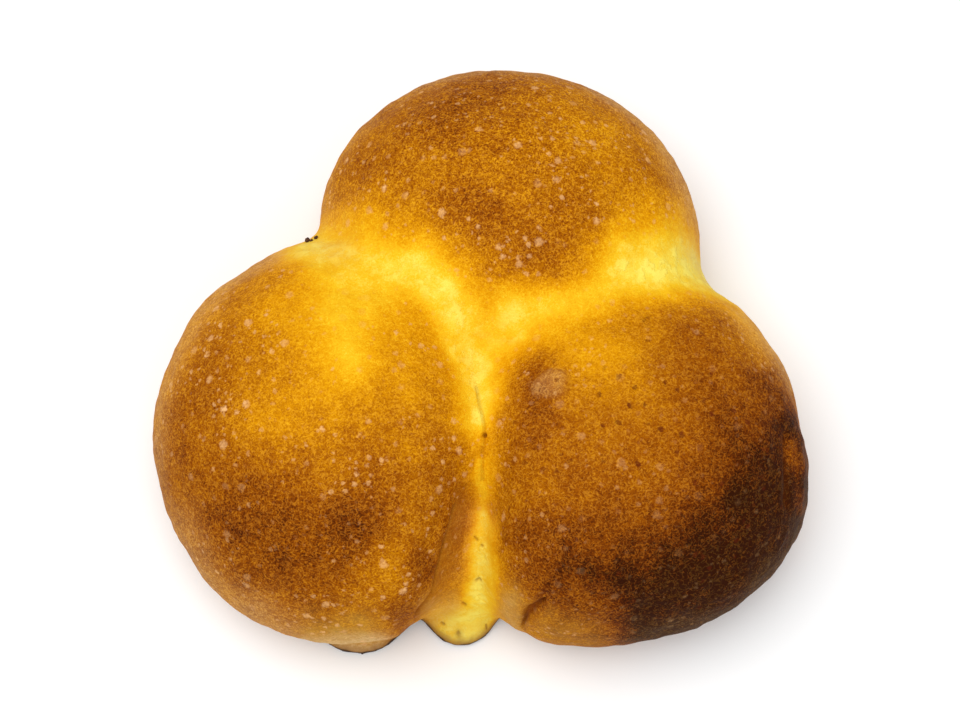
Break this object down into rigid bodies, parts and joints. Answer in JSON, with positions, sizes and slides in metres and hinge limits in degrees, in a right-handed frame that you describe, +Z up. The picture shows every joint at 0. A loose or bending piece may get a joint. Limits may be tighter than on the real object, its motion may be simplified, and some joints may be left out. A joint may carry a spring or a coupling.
{
  "type": "pull-apart bread",
  "caption": "Soft golden-brown pull-apart bread: balls of enriched dough baked together into a domed trefoil, with pale valleys, a small front tongue and a flat underside.",
  "frame": {"origin": "on the surface it rests on, under the middle of the loaf", "axes": "+Z up; +X to the right, along the two front balls; +Y towards the back ball"},
  "size_m": [0.1192, 0.1088, 0.044],
  "materials": {
    "crust": "satin"
  },
  "bodies": {
    "root": {"bread": "crust"}
  },
  "joints": []
}
